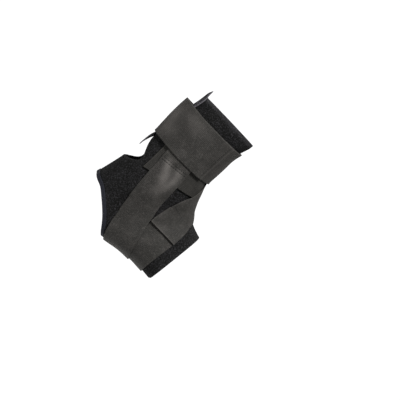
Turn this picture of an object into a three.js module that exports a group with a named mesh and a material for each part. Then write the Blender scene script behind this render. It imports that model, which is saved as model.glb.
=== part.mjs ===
// An open-heel ankle brace with its straps done up, in the shape that it has on a right foot.
// Millimetres, +Z up the leg, +X towards the toes, +Y towards the inner (medial) side.
// The origin is the ankle joint, in the middle of the hollow that the foot fills.
//
// Every piece lies on one form: the surface of the leg and foot inside the sleeve.
// A place on the form is a station, from 0 at the cuff to 13 at the toe edge, and an angle
// around it: 0 at the shin and instep, 90 on the outer side, 180 at the calf, heel and sole,
// and 270 on the inner side. A third number, the lift, is a distance out from the form.
import * as THREE from "three";

// Sizes of the leg and foot that the brace holds
const CUFF_HEIGHT = 129.5; // ankle joint up to the cuff's top edge
const INSTEP_HEIGHT = 44; // ankle joint up to where the shin turns into the instep
const SOLE_DROP = 75; // ankle joint down to the sole of the foot
const SHIN_REACH = 40; // ankle joint forward to the shin
const TOE_REACH = 86; // ankle joint forward to the toe edge
const HEEL_REACH = 58; // ankle joint back to the heel
const LEG_WIDTH = 68; // across the leg above the ankle
const FOOT_WIDTH = 82; // across the middle of the foot
const INSTEP_SWING = 7; // how far the instep's ridge lies towards the inner side
const ANKLE_BONE_HEIGHT = 3.5; // how far the ankle bones stand out
const ANKLE_BONE_RADIUS = 14;

// Sizes of the brace itself
const SLEEVE_WALL = 2.8; // padded knit of the sleeve
const STRAP_WALL = 1.2; // elastic webbing
const FLAP_WALL = 1.2; // closing flap over the slit
const TRIM_WALL = 0.8; // edge binding of the heel opening
const TRIM_LEG = 4.2; // how far the binding reaches on to the sleeve
const CLEARANCE = 0.65; // air between two pieces that lie on each other
const TRIM_CLEARANCE = 0.85; // air between the binding and the sleeve's edge inside it
const TOP_STRAP_WIDTH = 55;
const ANKLE_STRAP_WIDTH = 40;
const STIRRUP_WIDTH = 38;
const INSTEP_STRAP_WIDTH = 37.5;
const ARCH_STRAP_WIDTH = 37;
const TOP_STRAP_STANDOFF = 8; // how far the top strap bridges the hollow behind the calf

// How finely the pieces are faceted
const SLEEVE_COLUMNS = 36;
const STRAP_COLUMNS = 6;
const STRAP_STEP = 11; // a strap's facet is this long where it is straight
const STRAP_TURN = 18; // and turns by this many degrees at most
const FLAP_COLUMNS = 8;
const FLAP_ROWS = 16;
const WALK_STEP = 4;
const LAST_STATION = 13;

const radians = (degrees) => (degrees * Math.PI) / 180;

// One object for each row of a table, with the columns' names as its keys
const rowsOf = (columns, rows) =>
  rows.map((row) => Object.fromEntries(columns.map((name, i) => [name, row[i]])));

// The form's stations. The front point is shin x SHIN_REACH + toe x (TOE_REACH - SHIN_REACH)
// forward, and rise x INSTEP_HEIGHT + up x (CUFF_HEIGHT - INSTEP_HEIGHT) up. The back point is
// heel x HEEL_REACH back, sole x TOE_REACH forward, drop x SOLE_DROP down and lift x CUFF_HEIGHT
// up. leg and foot are shares of the two widths, square makes the section boxier, lean makes it
// broader in front than behind, swing is a share of INSTEP_SWING, and slant sets the outer side
// further back than the inner side.
const STATIONS = rowsOf(
  ["shin", "toe", "rise", "up", "heel", "sole", "drop", "lift", "leg", "foot", "square", "lean", "swing", "slant"],
  [
    [1.24, 0.0, 1.0, 1.0, 0.47, 0.0, 0.0, 1.0, 1.1, 0.0, 0.0, 0.05, 0.0, 0.0],
    [1.1, 0.0, 1.0, 0.79, 0.52, 0.0, 0.0, 0.86, 1.06, 0.0, 0.0, 0.05, 0.0, 0.0],
    [1.02, 0.0, 1.0, 0.6, 0.58, 0.0, 0.0, 0.73, 1.03, 0.0, 0.0, 0.05, 0.0, 0.0],
    [0.99, 0.0, 1.0, 0.37, 0.62, 0.0, 0.0, 0.57, 1.0, 0.0, 0.0, 0.05, 0.0, 0.0],
    [0.965, 0.0, 1.0, 0.17, 0.66, 0.0, 0.0, 0.42, 1.0, 0.0, 0.0, 0.05, 0.0, 0.0],
    [1.08, 0.0, 1.0, 0.0, 0.72, 0.0, 0.0, 0.28, 1.03, 0.0, 0.01, 0.04, 0.1, 0.0],
    [1.14, 0.02, 0.79, 0.0, 0.79, 0.0, 0.0, 0.11, 1.07, 0.0, 0.02, 0.03, 0.2, 0.0],
    [1.19, 0.06, 0.61, 0.0, 0.89, 0.0, 0.2, 0.0, 1.08, 0.0, 0.03, 0.02, 0.35, 0.0],
    [1.19, 0.14, 0.46, 0.0, 0.98, 0.0, 0.6, 0.0, 0.78, 0.2, 0.04, 0.02, 0.5, 0.0],
    [1.17, 0.25, 0.35, 0.0, 0.82, 0.0, 0.94, 0.0, 0.5, 0.42, 0.05, 0.0, 0.6, 0.0],
    [1.13, 0.4, 0.25, 0.0, 0.34, 0.0, 1.0, 0.0, 0.25, 0.63, 0.05, -0.04, 0.7, 0.01],
    [1.07, 0.58, 0.18, 0.0, 0.0, 0.07, 0.955, 0.0, 0.0, 0.88, 0.05, -0.08, 0.8, 0.03],
    [1.02, 0.77, 0.12, 0.0, 0.0, 0.41, 0.89, 0.0, 0.0, 0.95, 0.05, -0.1, 0.9, 0.05],
    [1.0, 1.0, 0.05, 0.0, 0.0, 0.925, 0.905, 0.0, 0.0, 1.0, 0.05, -0.12, 1.0, 0.07],
  ],
);

// A natural cubic spline through values at the knots 0, 1, 2 ..., straight past its ends
function spline(values) {
  const last = values.length - 1;
  const bend = new Array(last + 1).fill(0);
  const ahead = new Array(last + 1).fill(0);
  const right = new Array(last + 1).fill(0);
  for (let i = 1; i < last; i++) {
    const pivot = 4 - ahead[i - 1];
    ahead[i] = 1 / pivot;
    right[i] = (6 * (values[i + 1] - 2 * values[i] + values[i - 1]) - right[i - 1]) / pivot;
  }
  for (let i = last - 1; i > 0; i--) bend[i] = right[i] - ahead[i] * bend[i + 1];
  const inside = (x) => {
    const i = Math.min(last - 1, Math.max(0, Math.floor(x)));
    const b = x - i;
    const a = 1 - b;
    const curve = ((a ** 3 - a) * bend[i] + (b ** 3 - b) * bend[i + 1]) / 6;
    return a * values[i] + b * values[i + 1] + curve;
  };
  const startSlope = values[1] - values[0] - bend[1] / 6;
  const endSlope = values[last] - values[last - 1] + bend[last - 1] / 6;
  return (x) => {
    if (x < 0) return values[0] + startSlope * x;
    if (x > last) return values[last] + endSlope * (x - last);
    return inside(x);
  };
}

// A spline for each column of a table, read by name
function splinesOf(rows) {
  const names = Object.keys(rows[0]);
  return Object.fromEntries(names.map((name) => [name, spline(rows.map((row) => row[name]))]));
}

const frontX = spline(STATIONS.map((s) => s.shin * SHIN_REACH + s.toe * (TOE_REACH - SHIN_REACH)));
const frontZ = spline(STATIONS.map((s) => s.rise * INSTEP_HEIGHT + s.up * (CUFF_HEIGHT - INSTEP_HEIGHT)));
const backX = spline(STATIONS.map((s) => s.sole * TOE_REACH - s.heel * HEEL_REACH));
const backZ = spline(STATIONS.map((s) => s.lift * CUFF_HEIGHT - s.drop * SOLE_DROP));
const halfWidth = spline(STATIONS.map((s) => (s.leg * LEG_WIDTH + s.foot * FOOT_WIDTH) / 2));
const square = spline(STATIONS.map((s) => s.square));
const lean = spline(STATIONS.map((s) => s.lean));
const swing = spline(STATIONS.map((s) => s.swing * INSTEP_SWING));
const slant = spline(STATIONS.map((s) => s.slant));

// The ankle bones: where they stand out, as shares of SHIN_REACH forward and INSTEP_HEIGHT up
const ANKLE_BONES = rowsOf(
  ["side", "forward", "up"],
  [
    [1, -0.15, -0.05],
    [-1, 0.1, 0.12],
  ],
);

// A point of the form
function formPoint(station, around) {
  const q = square(station);
  const along = (Math.cos(around) - q * Math.cos(3 * around)) / (1 - q);
  const across = (Math.sin(around) + q * Math.sin(3 * around)) / (1 - q);
  const front = (1 + along) / 2;
  const x = frontX(station) * front + backX(station) * (1 - front);
  const z = frontZ(station) * front + backZ(station) * (1 - front);
  const reach = halfWidth(station) * (1 + lean(station) * Math.cos(around)) * across;
  let y = swing(station) * front - reach;
  for (const bone of ANKLE_BONES) {
    const facing = Math.max(0, across * bone.side) ** 2;
    const away = Math.hypot(x - bone.forward * SHIN_REACH, z - bone.up * INSTEP_HEIGHT);
    y -= bone.side * facing * ANKLE_BONE_HEIGHT * Math.exp(-((away / ANKLE_BONE_RADIUS) ** 2) / 2);
  }
  return new THREE.Vector3(x + slant(station) * y, y, z);
}

// The form's outward normal at a place
const NUDGE = 1e-3;
function formNormal(station, around) {
  const byStation = formPoint(station + NUDGE, around).sub(formPoint(station - NUDGE, around));
  const byAround = formPoint(station, around + NUDGE).sub(formPoint(station, around - NUDGE));
  return byAround.cross(byStation).normalize();
}

// The point that lies a given lift out from a place on the form
const raised = (station, around, lift) => formPoint(station, around).addScaledVector(formNormal(station, around), lift);
const lifted = (place, lift) => raised(place.station, place.around, lift);

// Walks from a place, straight ahead in a direction, over the surface that lies a given lift out
// from the form, and returns the place reached
function walk(place, direction, distance, lift) {
  const steps = Math.max(1, Math.ceil(Math.abs(distance) / WALK_STEP));
  const heading = direction.clone();
  let { station, around } = place;
  for (let i = 0; i < steps; i++) {
    const slope = (ds, da) =>
      raised(station + ds, around + da, lift)
        .sub(raised(station - ds, around - da, lift))
        .divideScalar(2 * NUDGE);
    const byStation = slope(NUDGE, 0);
    const byAround = slope(0, NUDGE);
    const normal = formNormal(station, around);
    heading.addScaledVector(normal, -heading.dot(normal)).normalize();
    const e = byStation.dot(byStation);
    const f = byStation.dot(byAround);
    const g = byAround.dot(byAround);
    const a = heading.dot(byStation);
    const b = heading.dot(byAround);
    const scale = distance / steps / (e * g - f * f);
    station += (g * a - f * b) * scale;
    around += (e * b - f * a) * scale;
  }
  return { station, around };
}

// A closed solid from a sheet of faces and the sheet's outer and inner points. Each open edge
// of the sheet gets a wall between the two.
function thicken(outer, inner, faces) {
  const count = outer.length;
  const open = new Map();
  for (const [a, b, c] of faces)
    for (const [p, q] of [[a, b], [b, c], [c, a]])
      if (!open.delete(`${q},${p}`)) open.set(`${p},${q}`, [p, q]);
  const index = faces.flatMap(([a, b, c]) => [a, b, c, c + count, b + count, a + count]);
  for (const [p, q] of open.values())
    index.push(q, p, p + count, q, p + count, q + count);
  const geometry = new THREE.BufferGeometry();
  geometry.setAttribute(
    "position",
    new THREE.Float32BufferAttribute([...outer, ...inner].flatMap((v) => v.toArray()), 3),
  );
  geometry.setIndex(index);
  return geometry;
}

// The two triangles of each cell of a grid whose rows and columns give point numbers
function gridFaces(numberOf, rowCount, columnCount) {
  const faces = [];
  for (let i = 0; i < rowCount - 1; i++)
    for (let j = 0; j < columnCount - 1; j++) {
      const [a, b, c, d] = [numberOf(i, j), numberOf(i, j + 1), numberOf(i + 1, j + 1), numberOf(i + 1, j)];
      if (a !== b) faces.push([a, b, c]);
      if (c !== d) faces.push([a, c, d]);
    }
  return faces;
}

// The sleeve's two openings, each as a smooth line through places on its edge: half is half the
// angle that is missing around the back. The slit runs from the cuff down into the rounded notch
// over the Achilles tendon.
const SLIT = rowsOf(
  ["station", "half"],
  [
    [0, 9],
    [1.3, 9],
    [2.6, 9],
    [3.6, 9.5],
    [4.3, 16],
    [4.9, 31],
    [5.4, 43.5],
    [5.75, 47],
    [5.95, 42],
    [6.05, 30],
    [6.09, 15],
    [6.1, 0],
  ],
);
const HEEL_OPENING = rowsOf(
  ["station", "half"],
  [
    [7.38, 0],
    [7.4, 12],
    [7.5, 24.5],
    [7.71, 41],
    [8.01, 53.5],
    [8.6, 63.5],
    [9.26, 64],
    [9.9, 54],
    [10.44, 38],
    [10.7, 23],
    [10.8, 11],
    [10.82, 0],
  ],
);
const OPENING_ROWS = 15;

// Stations from one end of a stretch to the other, both included
const evenly = (from, to, count) =>
  Array.from({ length: count + 1 }, (_, i) => from + ((to - from) * i) / count);

// The rows of cells along an opening's edge. ease shifts them along the line.
function openingRows(table, ease) {
  const read = splinesOf(table);
  return evenly(0, 1, OPENING_ROWS).map((share) => {
    const t = ease(share) * (table.length - 1);
    return { station: read.station(t), half: radians(Math.max(0, read.half(t))) };
  });
}

const denserAtEnd = (share) => 0.35 * share + 0.65 * Math.sin((Math.PI * share) / 2);
const slitRows = openingRows(SLIT, denserAtEnd);
const heelRows = openingRows(HEEL_OPENING, (share) => share);
const lastOf = (rows) => rows[rows.length - 1];
const closedRows = (from, to, count) =>
  evenly(from, to, count).map((station) => ({ station, half: 0 }));

const SLEEVE_ROWS = [
  ...slitRows,
  ...closedRows(lastOf(slitRows).station, heelRows[0].station, 3).slice(1, -1),
  ...heelRows,
  ...closedRows(lastOf(heelRows).station, LAST_STATION, 5).slice(1),
];

// The angle of a column. The columns on the front half stay put, and those behind them close up
// to leave the missing angle free.
const STEADY = radians(100);
function columnAngle(share, half) {
  const plain = Math.PI * Math.abs(2 * share - 1);
  const closing = (Math.PI - half - STEADY) / (Math.PI - STEADY);
  const angle = plain < STEADY ? plain : STEADY + (plain - STEADY) * closing;
  return Math.sign(2 * share - 1) * angle;
}

// The padded sleeve, from the cuff to the toe edge, open at the heel and down the back
function sleeve() {
  const outer = [];
  const inner = [];
  const numbers = SLEEVE_ROWS.map(({ station, half }) => {
    const closed = half === 0;
    const row = [];
    for (let j = 0; j <= SLEEVE_COLUMNS; j++) {
      if (closed && j === SLEEVE_COLUMNS) {
        row.push(row[0]);
        continue;
      }
      const around = columnAngle(j / SLEEVE_COLUMNS, half);
      row.push(outer.length);
      outer.push(lifted({ station, around }, SLEEVE_WALL));
      inner.push(lifted({ station, around }, 0));
    }
    return row;
  });
  return thicken(outer, inner, gridFaces((i, j) => numbers[i][j], numbers.length, SLEEVE_COLUMNS + 1));
}

// The binding: a channel with its open side on the sleeve's edge, all round the heel opening
function heelTrim() {
  const side = (sign) => heelRows.map(({ station, half }) => ({ station, around: Math.PI + sign * half }));
  const edge = [...side(1).slice(0, -1), ...side(-1).reverse().slice(0, -1)];
  const nose = TRIM_CLEARANCE + TRIM_WALL;
  const top = SLEEVE_WALL + TRIM_CLEARANCE;
  const profile = [
    [-TRIM_LEG, top],
    [-TRIM_LEG, top + TRIM_WALL],
    [TRIM_CLEARANCE, top + TRIM_WALL],
    [nose, top],
    [nose, -TRIM_CLEARANCE],
    [TRIM_CLEARANCE, -nose],
    [-TRIM_LEG, -nose],
    [-TRIM_LEG, -TRIM_CLEARANCE],
    [TRIM_CLEARANCE, -TRIM_CLEARANCE],
    [TRIM_CLEARANCE, top],
  ];
  const points = edge.flatMap((place, i) => {
    const before = edge[(i + edge.length - 1) % edge.length];
    const after = edge[(i + 1) % edge.length];
    const along = lifted(after, 0).sub(lifted(before, 0)).normalize();
    const normal = formNormal(place.station, place.around);
    const inwards = new THREE.Vector3().crossVectors(normal, along).normalize();
    return profile.map(([reach, lift]) => lifted(walk(place, inwards, reach, lift), lift));
  });
  const n = profile.length;
  const index = [];
  for (let i = 0; i < edge.length; i++)
    for (let j = 0; j < n; j++) {
      const [a, b] = [i * n + j, i * n + ((j + 1) % n)];
      const [d, c] = [((i + 1) % edge.length) * n + j, ((i + 1) % edge.length) * n + ((j + 1) % n)];
      index.push(a, c, b, a, d, c);
    }
  const geometry = new THREE.BufferGeometry();
  geometry.setAttribute("position", new THREE.Float32BufferAttribute(points.flatMap((v) => v.toArray()), 3));
  geometry.setIndex(index);
  return geometry;
}

// A strap's centre line, from a table of places, cut into steps that are shorter where it turns.
// left and right are how many strap layers lie under its two edges, seen from outside and along
// the strap. off is a share of a standoff that only the top strap has.
function centreLine(table) {
  const read = splinesOf(table);
  const last = table.length - 1;
  const keys = Object.keys(table[0]);
  const fine = evenly(0, last, last * 12).map((t) => Object.fromEntries(keys.map((key) => [key, read[key](t)])));
  for (const place of fine) place.around = radians(place.around);
  const points = fine.map((place) => lifted(place, SLEEVE_WALL));
  const normals = fine.map((place) => formNormal(place.station, place.around));
  const effort = [0];
  for (let i = 1; i < fine.length; i++) {
    const length = points[i].distanceTo(points[i - 1]);
    const turn = normals[i].angleTo(normals[i - 1]);
    effort.push(effort[i - 1] + length / STRAP_STEP + turn / radians(STRAP_TURN));
  }
  const total = effort[effort.length - 1];
  return evenly(0, total, Math.ceil(total)).map((wanted) => {
    const next = Math.max(1, effort.findIndex((reached) => reached >= wanted - NUDGE));
    const share = (wanted - effort[next - 1]) / (effort[next] - effort[next - 1]);
    return Object.fromEntries(keys.map((key) => [key, fine[next - 1][key] * (1 - share) + fine[next][key] * share]));
  });
}

const LAYER = STRAP_WALL + CLEARANCE;

// A strap of constant width laid over the form along its centre line
function strap(table, width, standoff = () => 0) {
  const line = centreLine(table);
  const outer = [];
  const inner = [];
  line.forEach((place, i) => {
    const before = line[Math.max(0, i - 1)];
    const after = line[Math.min(line.length - 1, i + 1)];
    const along = lifted(after, 0).sub(lifted(before, 0)).normalize();
    const normal = formNormal(place.station, place.around);
    const middle = SLEEVE_WALL + CLEARANCE + ((place.left + place.right) / 2) * LAYER;
    const skew = radians(place.skew);
    const sideways = new THREE.Vector3().crossVectors(along, normal).applyAxisAngle(normal, skew);
    for (let j = 0; j <= STRAP_COLUMNS; j++) {
      const share = j / STRAP_COLUMNS;
      const spot = walk(place, sideways, ((share - 0.5) * width) / Math.cos(skew), middle);
      const layers = place.left * (1 - share) + place.right * share;
      const lift = SLEEVE_WALL + CLEARANCE + layers * LAYER + standoff(place, share);
      inner.push(lifted(spot, lift));
      outer.push(lifted(spot, lift + STRAP_WALL));
    }
  });
  const columns = STRAP_COLUMNS + 1;
  return thicken(outer, inner, gridFaces((i, j) => i * columns + j, line.length, columns));
}

const PATH_COLUMNS = ["station", "around", "left", "right", "off", "skew"];

const TOP_STRAP = rowsOf(PATH_COLUMNS, [
  [2.55, 63, 0.5, 1.2, 0, 0],
  [2.55, 42, 0.5, 1.2, 0, 0],
  [2.53, 20, 0.5, 1.4, 0, 0],
  [2.53, 0, 0.6, 2.2, 0, 0],
  [2.53, -22, 1.6, 2.7, 0, 0],
  [2.53, -45, 2.8, 3.1, 0, 0],
  [2.53, -75, 2.8, 3.2, 0, 0],
  [2.53, -100, 2, 3, 0, 0],
  [2.53, -125, 1.4, 2.4, 0, 0],
  [2.5, -150, 1.2, 1.3, 0.4, 0],
  [2.52, -170, 1.1, 1.2, 1, 0],
  [2.52, -190, 1.1, 1.2, 1, 0],
  [2.53, -208, 0.9, 0.9, 0.6, 0],
  [2.53, -225, 0.7, 1.2, 0.2, 0],
  [2.55, -242, 0.8, 2.1, 0, 0],
  [2.56, -262, 0.8, 2.2, 0, 0],
  [2.56, -280, 0.9, 2.2, 0, 0],
  [2.56, -296, 1.5, 2.3, 0, 0],
  [2.56, -316, 1.5, 2.3, 0, 0],
]);

const ANKLE_STRAP = rowsOf(PATH_COLUMNS, [
  [4.87, 121.3, 0.1, 0.1, 0, -13],
  [4.72, 105, 0.1, 0.1, 0, -6],
  [4.6, 90, 0.1, 0.1, 0, 0],
  [4.45, 66, 0.1, 0.1, 0, 0],
  [4.4, 43, 0.1, 0.1, 0, 0],
  [4.3, 20, 0.1, 0.1, 0, 0],
  [4.2, 0, 0.1, 0.1, 0, 0],
  [4.05, -30, 0.1, 0.1, 0, 0],
  [3.85, -60, 0.1, 0.1, 0, 0],
  [3.65, -90, 0.1, 0.1, 0, 0],
  [3.5, -118, 0.1, 0.1, 0, 0],
]);

// The stirrup's outer arm and half of its run under the sole. The inner arm mirrors it.
const STIRRUP_HALF = rowsOf(PATH_COLUMNS, [
  [3.82, 89, 1, 1, 0, 0],
  [4.54, 88.4, 1, 1, 0, 0],
  [5.38, 87.5, 1, 1, 0, 0],
  [6.13, 86.7, 0.9, 1, 0, 0],
  [6.68, 85.9, 0.3, 0.4, 0, 0],
  [7.2, 84.8, 0, 0, 0, 0],
  [7.78, 83.6, 0, 0, 0, 0],
  [8.44, 83.6, 0.2, 0, 0, 0],
  [9.06, 86.9, 0.7, 0, 0, 0],
  [9.71, 94.3, 1, 0, 0, 0],
  [10.33, 105.2, 1, 0.1, 0, 0],
  [10.8, 115.5, 1, 0.4, 0, 0],
  [11.21, 128.6, 1, 0.7, 0, 0],
  [11.49, 144, 1, 0.8, 0, 0],
  [11.64, 161, 1, 0.8, 0, 0],
  [11.68, 180, 1, 0.8, 0, 0],
]);
const mirrored = (rows) => rows.map((row) => ({ ...row, around: 360 - row.around })).reverse();
const STIRRUP = [...STIRRUP_HALF, ...mirrored(STIRRUP_HALF).slice(1)];

const INSTEP_STRAP = rowsOf(PATH_COLUMNS, [
  [11.2, 76, 1.5, 1.3, 0, -10],
  [10.47, 63.8, 1.2, 1.1, 0, -5],
  [9.58, 50.2, 1, 1, 0, 0],
  [8.88, 40.5, 1, 1, 0, 0],
  [8.1, 30, 1, 1, 0, 0],
  [7.35, 19.5, 1, 1, 0, 0],
  [6.6, 8, 1.1, 1.1, 0, 0],
  [5.85, -5, 1.1, 1.1, 0, 0],
  [5.05, -21, 1.2, 1.5, 0, 0],
  [4.3, -42, 1.8, 2.1, 0, 0],
  [3.7, -63, 2.1, 2.1, 0, 0],
]);

const ARCH_STRAP = rowsOf(PATH_COLUMNS, [
  [9.25, 45.6, 0, 0, 0, 0],
  [10.47, 63.8, 0, 0, 0, 0],
  [11.2, 76.5, 0, 0, 0, 0],
  [11.75, 95, 0, 0, 0, 0],
  [12.08, 120, 0, 0, 0, 0],
  [12.25, 150, 0, 0, 0, 0],
  [12.3, 180, 0, 0, 0, 0],
  [12.25, 210, 0, 0, 0, 0],
  [12.05, 240, 0, 0, 0, 0],
  [11.7, 265, 0, 0, 0, 0],
  [11.3, 285, 0, 0, 0, 0],
]);

// The closing flap. Its rows run down the back from its top edge to its bottom edge. end is the
// angle of its free edge, and off is how far that edge stands out from the sleeve's face there,
// as a share of SLEEVE_WALL.
const FLAP_START = 206; // angle of the edge that is sewn to the inner side's panel
const FLAP_TOP_RISE = 0.55; // stations that its free corner stands above the cuff
const FLAP_BOTTOM = 4; // station of its sewn edge's lower end
const FLAP_BOTTOM_DROP = 1.15; // stations that its free corner hangs below that
const FLAP_LINE = rowsOf(
  ["end", "off"],
  [
    [164, 0],
    [158, 0],
    [157, 0],
    [160, 0],
    [164, 0],
    [169, 0],
    [174, 0],
    [176, 0.3],
    [177, -0.5],
  ],
);

function closureFlap() {
  const read = splinesOf(FLAP_LINE);
  const outer = [];
  const inner = [];
  for (let i = 0; i <= FLAP_ROWS; i++) {
    const down = i / FLAP_ROWS;
    const t = down * (FLAP_LINE.length - 1);
    for (let j = 0; j <= FLAP_COLUMNS; j++) {
      const across = j / FLAP_COLUMNS;
      const top = -FLAP_TOP_RISE * across ** 2;
      const bottom = FLAP_BOTTOM + FLAP_BOTTOM_DROP * across;
      const station = top + (bottom - top) * down;
      const around = radians(FLAP_START + (read.end(t) - FLAP_START) * across);
      const lift = SLEEVE_WALL + CLEARANCE + read.off(t) * SLEEVE_WALL * across ** 2;
      outer.push(lifted({ station, around }, lift + FLAP_WALL));
      inner.push(lifted({ station, around }, lift));
    }
  }
  const columns = FLAP_COLUMNS + 1;
  const faces = gridFaces((i, j) => i * columns + FLAP_COLUMNS - j, FLAP_ROWS + 1, columns);
  return thicken(outer, inner, faces);
}

// A mesh with its own material
function piece(name, geometry, color, roughness) {
  const material = new THREE.MeshStandardMaterial({ color, roughness, metalness: 0 });
  const mesh = new THREE.Mesh(geometry, material);
  mesh.name = name;
  return mesh;
}

const topStandoff = (place, share) => TOP_STRAP_STANDOFF * place.off * (1 - share);

const brace = new THREE.Group();
brace.add(
  piece("sleeve", sleeve(), 0x1b1b1d, 0.95),
  piece("heel_trim", heelTrim(), 0x26262b, 0.85),
  piece("closure_flap", closureFlap(), 0x232326, 0.9),
  piece("top_strap", strap(TOP_STRAP, TOP_STRAP_WIDTH, topStandoff), 0x3c3b38, 0.7),
  piece("ankle_strap", strap(ANKLE_STRAP, ANKLE_STRAP_WIDTH), 0x3c3b38, 0.7),
  piece("stirrup_strap", strap(STIRRUP, STIRRUP_WIDTH), 0x3c3b38, 0.7),
  piece("instep_strap", strap(INSTEP_STRAP, INSTEP_STRAP_WIDTH), 0x3c3b38, 0.7),
  piece("arch_strap", strap(ARCH_STRAP, ARCH_STRAP_WIDTH), 0x3c3b38, 0.7),
);

export default brace;
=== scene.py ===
"""An open-heel ankle brace with its straps done up, as the eye sees it.

Every piece lies on one form, the surface of the leg and foot inside the sleeve. A place on the
form is a station, from 0 at the cuff to 13 at the toe edge, and an angle around it: 0 at the
shin and instep, 90 on the outer side, 180 at the calf, heel and sole, 270 on the inner side.
A lift is a distance out from the form. Shapes are worked out in millimetres and put into the
meshes in metres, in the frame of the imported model.
"""
from __future__ import annotations

import logging
import math
from dataclasses import dataclass, field
from enum import Enum

import bpy
import numpy as np
from mathutils import Matrix, Vector

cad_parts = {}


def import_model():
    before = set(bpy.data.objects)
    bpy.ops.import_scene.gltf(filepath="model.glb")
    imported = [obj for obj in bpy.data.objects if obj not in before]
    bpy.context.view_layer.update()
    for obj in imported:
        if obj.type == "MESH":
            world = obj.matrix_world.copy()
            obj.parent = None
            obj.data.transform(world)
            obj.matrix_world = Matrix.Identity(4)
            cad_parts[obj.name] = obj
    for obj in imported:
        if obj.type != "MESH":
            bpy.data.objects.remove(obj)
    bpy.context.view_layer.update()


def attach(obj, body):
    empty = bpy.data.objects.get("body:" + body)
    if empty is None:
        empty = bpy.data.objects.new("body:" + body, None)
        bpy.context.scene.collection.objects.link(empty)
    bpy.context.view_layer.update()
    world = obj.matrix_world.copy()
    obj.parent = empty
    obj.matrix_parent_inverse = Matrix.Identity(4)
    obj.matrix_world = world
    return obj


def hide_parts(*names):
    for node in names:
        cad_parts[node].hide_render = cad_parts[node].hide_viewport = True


LOG = logging.getLogger("ankle_brace")
MM = 0.001
NUDGE = 1e-3  # a small step of station or angle, for slopes
CLOTH = "cloth"  # attribute: millimetres along and across the cloth, and its share of the pale colour: wear from rubbing, and painted highlights on the straps and along the binding's rim
AROUND_MM, ALONG_MM = 35.0, 16.0  # cloth in a radian and in a station, about


# ---------------------------------------------------------------- the form
class Spline:
    """A natural cubic spline through values at the knots 0, 1, 2 ..., straight past its ends."""

    def __init__(self, values: np.ndarray) -> None:
        """Solves for the second derivatives: each row of three neighbours holds 1, 4, 1.

        Args:
            values: one value for each knot.
        """
        self.values = np.asarray(values, float)
        count = len(self.values)
        matrix, right = np.eye(count), np.zeros(count)
        inner = np.arange(1, count - 1)
        matrix[inner, inner - 1] = matrix[inner, inner + 1] = 1
        matrix[inner, inner] = 4
        right[1:-1] = 6 * (self.values[2:] - 2 * self.values[1:-1] + self.values[:-2])
        self.bend = np.linalg.solve(matrix, right)

    def __call__(self, at: np.ndarray) -> np.ndarray:
        """The spline's values at whole arrays of places."""
        v, m, last = self.values, self.bend, len(self.values) - 1
        at = np.asarray(at, float)
        inside = np.clip(at, 0, last)
        i = np.clip(np.floor(inside).astype(int), 0, last - 1)
        b = inside - i
        a = 1 - b
        curve = ((a**3 - a) * m[i] + (b**3 - b) * m[i + 1]) / 6
        before = (v[1] - v[0] - m[1] / 6) * np.minimum(at, 0)
        beyond = (v[-1] - v[-2] + m[-2] / 6) * np.maximum(at - last, 0)
        return a * v[i] + b * v[i + 1] + curve + before + beyond


# A row for each station from the cuff to the toe edge, in shares of the form's named sizes:
# shin, toe, rise, up, heel, sole, drop, lift, leg, foot, square, lean, swing, slant
STATIONS = np.array([
    [1.24, 0.0, 1.0, 1.0, 0.47, 0.0, 0.0, 1.0, 1.1, 0.0, 0.0, 0.05, 0.0, 0.0],
    [1.1, 0.0, 1.0, 0.79, 0.52, 0.0, 0.0, 0.86, 1.06, 0.0, 0.0, 0.05, 0.0, 0.0],
    [1.02, 0.0, 1.0, 0.6, 0.58, 0.0, 0.0, 0.73, 1.03, 0.0, 0.0, 0.05, 0.0, 0.0],
    [0.99, 0.0, 1.0, 0.37, 0.62, 0.0, 0.0, 0.57, 1.0, 0.0, 0.0, 0.05, 0.0, 0.0],
    [0.965, 0.0, 1.0, 0.17, 0.66, 0.0, 0.0, 0.42, 1.0, 0.0, 0.0, 0.05, 0.0, 0.0],
    [1.08, 0.0, 1.0, 0.0, 0.72, 0.0, 0.0, 0.28, 1.03, 0.0, 0.01, 0.04, 0.1, 0.0],
    [1.14, 0.02, 0.79, 0.0, 0.79, 0.0, 0.0, 0.11, 1.07, 0.0, 0.02, 0.03, 0.2, 0.0],
    [1.19, 0.06, 0.61, 0.0, 0.89, 0.0, 0.2, 0.0, 1.08, 0.0, 0.03, 0.02, 0.35, 0.0],
    [1.19, 0.14, 0.46, 0.0, 0.98, 0.0, 0.6, 0.0, 0.78, 0.2, 0.04, 0.02, 0.5, 0.0],
    [1.17, 0.25, 0.35, 0.0, 0.82, 0.0, 0.94, 0.0, 0.5, 0.42, 0.05, 0.0, 0.6, 0.0],
    [1.13, 0.4, 0.25, 0.0, 0.34, 0.0, 1.0, 0.0, 0.25, 0.63, 0.05, -0.04, 0.7, 0.01],
    [1.07, 0.58, 0.18, 0.0, 0.0, 0.07, 0.955, 0.0, 0.0, 0.88, 0.05, -0.08, 0.8, 0.03],
    [1.02, 0.77, 0.12, 0.0, 0.0, 0.41, 0.89, 0.0, 0.0, 0.95, 0.05, -0.1, 0.9, 0.05],
    [1.0, 1.0, 0.05, 0.0, 0.0, 0.925, 0.905, 0.0, 0.0, 1.0, 0.05, -0.12, 1.0, 0.07],
])
ANKLE_BONES = ((1, -0.15, -0.05), (-1, 0.1, 0.12))  # side, share forward, share up
LAST_STATION = 13.0


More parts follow.
